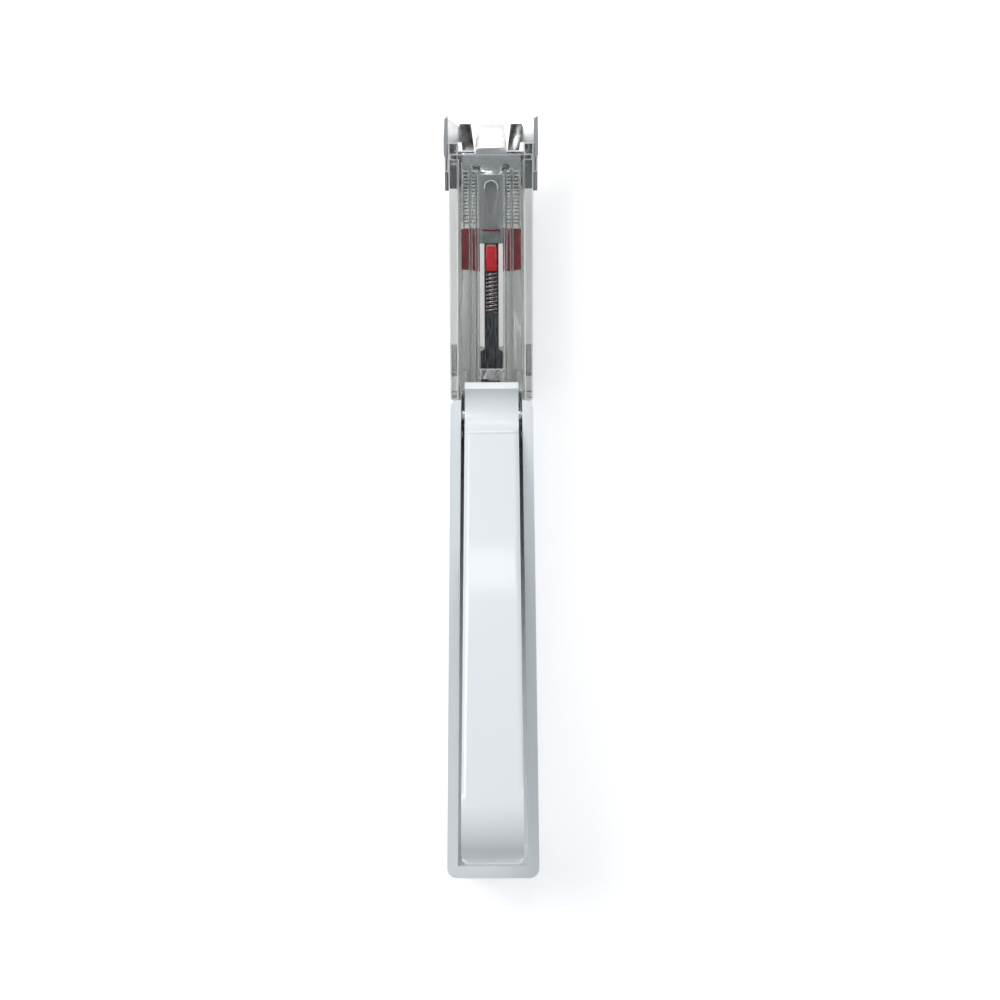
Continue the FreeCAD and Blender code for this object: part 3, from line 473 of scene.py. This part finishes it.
# The follower is an opaque red saddle with two side blocks and a boss that the spring pushes.
red_abs = finish("red_abs", (0.42, 0.012, 0.02), 0.25, Coat_Weight=0.4)
tint(red_abs, noise_over(red_abs, 500.0), (0.42, 0.006, 0.012), (0.56, 0.012, 0.020))
ripple(red_abs, noise_over(red_abs, 900.0), 0.2, 0.0001)
rounded_copy("follower", "red_follower", red_abs, "follower", 0.0002)


# The strip is blanked from dark brushed spring steel and clipped under the cover's bridge. Its
# narrow nose holds the feed spring, ten coils of fine wire that stretch out behind the follower.
rounded_copy("spring_strip", "dark_strip", dark_spring, "frame", 0)
HEAD_TILT = radians(8)
NECK_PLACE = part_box("handle_body")[1].y
COIL_REAR, COIL_LENGTH, COIL_TURNS = 0.01815, 0.0085, 10
COIL_LEVEL, COIL_RADIUS, COIL_WIRE, STEPS_PER_TURN = 0.0100, 0.0010, 0.00042, 18


def stand_in_head(piece):
    """Tilts a piece that was drawn in the head's own frame and moves it to the neck."""
    piece.rotation_euler = (HEAD_TILT, 0, 0)
    piece.location = (0, NECK_PLACE, 0)
    return settled(piece)


bpy.ops.mesh.primitive_circle_add(
    vertices=10, radius=COIL_WIRE / 2, fill_type="NOTHING", location=(COIL_RADIUS, 0, 0))
coil = settled(bpy.context.object)
coil.name = "feed_coil"
winding = coil.modifiers.new("winding", "SCREW")
winding.axis = "Y"
winding.angle = COIL_TURNS * 2 * pi
winding.screw_offset = COIL_LENGTH
winding.steps = winding.render_steps = COIL_TURNS * STEPS_PER_TURN
bpy.ops.object.modifier_apply(modifier=winding.name)
bpy.ops.object.mode_set(mode="EDIT")
bpy.ops.mesh.select_all(action="SELECT")
bpy.ops.mesh.fill_holes(sides=0)
bpy.ops.mesh.normals_make_consistent(inside=False)
bpy.ops.object.mode_set(mode="OBJECT")
bpy.ops.object.shade_smooth_by_angle(angle=radians(40))
coil.location = (0, COIL_REAR, COIL_LEVEL)
settled(coil)
stand_in_head(coil)
# The wire's pinkish tint is a painted reflection of the red follower
fine_wire = finish("fine_wire", (0.42, 0.37, 0.36), 0.25, 1.0)
tint(fine_wire, noise_over(fine_wire, 1500.0, 2.0), (0.36, 0.31, 0.30), (0.50, 0.44, 0.43))
gloss(fine_wire, noise_over(fine_wire, 2500.0), 0.18, 0.32)
coil.data.materials.append(fine_wire)
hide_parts("feed_spring")
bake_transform(coil)


# A small tan block sits on the follower's bridge, just ahead of the boss, and travels with it.
TAN_BLOCK_PLACE, TAN_BLOCK_SIZE = (0, 0.0321, 0.01092), (0.0020, 0.0016, 0.00045)
tan_block_finish = finish("tan_block_finish", (0.36, 0.28, 0.21), 0.6)
tint(tan_block_finish, noise_over(tan_block_finish, 1500.0), (0.30, 0.23, 0.17), (0.42, 0.33, 0.25))
bpy.ops.mesh.primitive_cube_add(size=1, location=TAN_BLOCK_PLACE, scale=TAN_BLOCK_SIZE)
tan_block = settled(bpy.context.object)
tan_block.name = "follower_tan_block"
stand_in_head(tan_block)
add_bevel(tan_block, 0.0001)
tan_block.data.materials.append(tan_block_finish)
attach(tan_block, "follower")


# The cover is a thin clear moulding with two ribs a side. Its rounded edges, and the tongue's, are
# painted pale as bright highlight lines. It snaps over the tray, and a frosted tongue closes the
# front of its slot.
rounded_copy("cartridge_cover", "clear_cover", thin_clear, "frame", 0.0002, 3,
             painted_highlight_edge)
frosted_clear = finish("frosted_clear", (0.64, 0.66, 0.65), 0.4, Transmission_Weight=0.85, IOR=1.4)
gloss(frosted_clear, noise_over(frosted_clear, 900.0), 0.3, 0.5)
ripple(frosted_clear, noise_over(frosted_clear, 2500.0), 0.3, 0.0001)
rounded_copy("channel_tongue", "frosted_tongue", frosted_clear, "frame", 0.0002, 2,
             painted_highlight_edge)

# A dark flat reaches back over the follower from the tongue: painted shade over the front of the
# follower's red bridge
SHADE_FLAT_PLACE, SHADE_FLAT_SIZE = (0, 0.0343, 0.01155), (0.0040, 0.0026, 0.00050)
# The flat's dark colour is painted shade over the follower
painted_shade_smoke = finish("painted_shade_smoke", (0.15, 0.17, 0.155), 0.35)
tint(painted_shade_smoke, noise_over(painted_shade_smoke, 700.0), (0.12, 0.14, 0.125), (0.19, 0.21, 0.195))
gloss(painted_shade_smoke, noise_over(painted_shade_smoke, 900.0), 0.25, 0.45)
bpy.ops.mesh.primitive_cube_add(size=1, location=SHADE_FLAT_PLACE, scale=SHADE_FLAT_SIZE)
shade_flat = settled(bpy.context.object)
shade_flat.name = "painted_shade_flat"
stand_in_head(shade_flat)
add_bevel(shade_flat, 0.0001)
shade_flat.data.materials.append(painted_shade_smoke)
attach(shade_flat, "frame")

# The tongue carries a raised half-round rim, a locating mark of the mould, painted pale as a
# highlight
EYE_PLACE, EYE_RADIUS, EYE_RIM, EYE_FOOT = (0, 0.0448, 0.0130), 0.0014, 0.00014, -0.0003
bpy.ops.mesh.primitive_torus_add(
    major_radius=EYE_RADIUS, minor_radius=EYE_RIM, major_segments=48, minor_segments=10)
eye = bpy.context.object
eye.name = "tongue_eye"
bpy.ops.object.mode_set(mode="EDIT")
bpy.ops.mesh.select_all(action="SELECT")
bpy.ops.mesh.bisect(
    plane_co=(0, EYE_FOOT, 0), plane_no=(0, -1, 0), clear_outer=True, use_fill=True)
bpy.ops.object.mode_set(mode="OBJECT")
bpy.ops.object.shade_smooth_by_angle(angle=radians(40))
eye.location = EYE_PLACE
settled(eye)
stand_in_head(eye)
eye.data.materials.append(painted_highlight_edge)
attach(eye, "frame")


# The anvil plate is a T blanked from steel sheet, with two round notches, whose front is bent
# down into the anvil. It is satin steel whose tone wanders in broad random patches.
satin_steel = finish("satin_steel", (0.6, 0.6, 0.6), 0.2, 1.0)
tint(satin_steel, noise_over(satin_steel, 220.0), (0.58, 0.58, 0.57), (0.76, 0.76, 0.75))
gloss(satin_steel, noise_over(satin_steel, 1500.0, 3.0, (0.1, 1, 1)), 0.14, 0.3)
rounded_copy("anvil_plate", "anvil_stamping", satin_steel, "frame", 0.00012)


# The nose plate is stamped and folded from bright stainless sheet: a back plate held by two rivets,
# an ear on each side, and a wing on each ear that rolls down beside the anvil as a guide.
# This darker steel is painted shade, on the wings' sloped bands and on the guides beside the anvil
painted_shade_steel = finish("painted_shade_steel", (0.2, 0.2, 0.2), 0.25, 1.0)
shade_streaks = noise_over(painted_shade_steel, 500.0, 3.0, (1, 1, 0.1))
tint(painted_shade_steel, shade_streaks, (0.12, 0.12, 0.12), (0.30, 0.30, 0.29))
gloss(painted_shade_steel, noise_over(painted_shade_steel, 900.0), 0.16, 0.34)
nose = rounded_copy("nose_plate", "nose_stamping", bright_steel, "frame", 0.00012)
nose.data.materials.append(painted_shade_steel)
# This paler, rougher steel on the flat leaves' up-facing faces is a painted highlight
painted_highlight_steel = finish("painted_highlight_steel", (0.88, 0.88, 0.87), 0.42, 1.0)
tint(painted_highlight_steel, noise_over(painted_highlight_steel, 700.0), (0.84, 0.84, 0.83), (0.92, 0.92, 0.91))
gloss(painted_highlight_steel, noise_over(painted_highlight_steel, 900.0), 0.36, 0.48)
nose.data.materials.append(painted_highlight_steel)
rounded_copy("nose_rivets", "rivet_heads", bright_steel, "frame", 0.00015, 3)

# The wings' sloped bands are darker than the rest, painted shade, and their flat up-facing leaves
# are paler, a painted highlight
FACES_ASIDE = 0.3
BAND_OUT, BAND_LEVEL = (0.0040, 0.0063), (0.0045, 0.0095)
LEAF_OUT, LEAF_LEVEL = (0.0058, 0.0088), (0.0085, 0.0100)
for face in nose.data.polygons:
    forward, upward = face.center.y - NECK_PLACE, face.center.z
    level = upward * cos(HEAD_TILT) - forward * sin(HEAD_TILT)
    out = abs(face.center.x)
    in_band = BAND_OUT[0] < out < BAND_OUT[1] and BAND_LEVEL[0] < level < BAND_LEVEL[1]
    in_leaf = LEAF_OUT[0] < out < LEAF_OUT[1] and LEAF_LEVEL[0] < level < LEAF_LEVEL[1]
    if in_band and abs(face.normal.x) > FACES_ASIDE:
        face.material_index = 1
    elif in_leaf and face.normal.z > FACES_UP:
        face.material_index = 2


# Beside the anvil the wings roll down as two guides, which hold the skin's edges together; their
# dark steel is painted shade.
# They are of one piece with the nose plate.
GUIDE_FRONT = ((0.0067, 0.0094), (0.0055, 0.0091), (0.0043, 0.0083))
GUIDE_FORWARD, GUIDE_RUN = 0.0582, (-0.0007, -0.0056, 0.0016)
GUIDE_SHEET = 0.0003

guides = traced("nose_guides", [(x, 0, z) for x, z in GUIDE_FRONT])
bpy.ops.mesh.extrude_region_move(TRANSFORM_OT_translate={"value": GUIDE_RUN})
bpy.ops.object.mode_set(mode="OBJECT")
for kind, values in (("MIRROR", {}), ("SOLIDIFY", {"thickness": GUIDE_SHEET, "offset": 0})):
    step = guides.modifiers.new("step", kind)
    for key, number in values.items():
        setattr(step, key, number)
    bpy.ops.object.modifier_apply(modifier=step.name)
guides.location = (0, GUIDE_FORWARD, 0)
settled(guides)
stand_in_head(guides)
add_bevel(guides, 0.00005)
guides.data.materials.append(painted_shade_steel)
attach(guides, "frame")
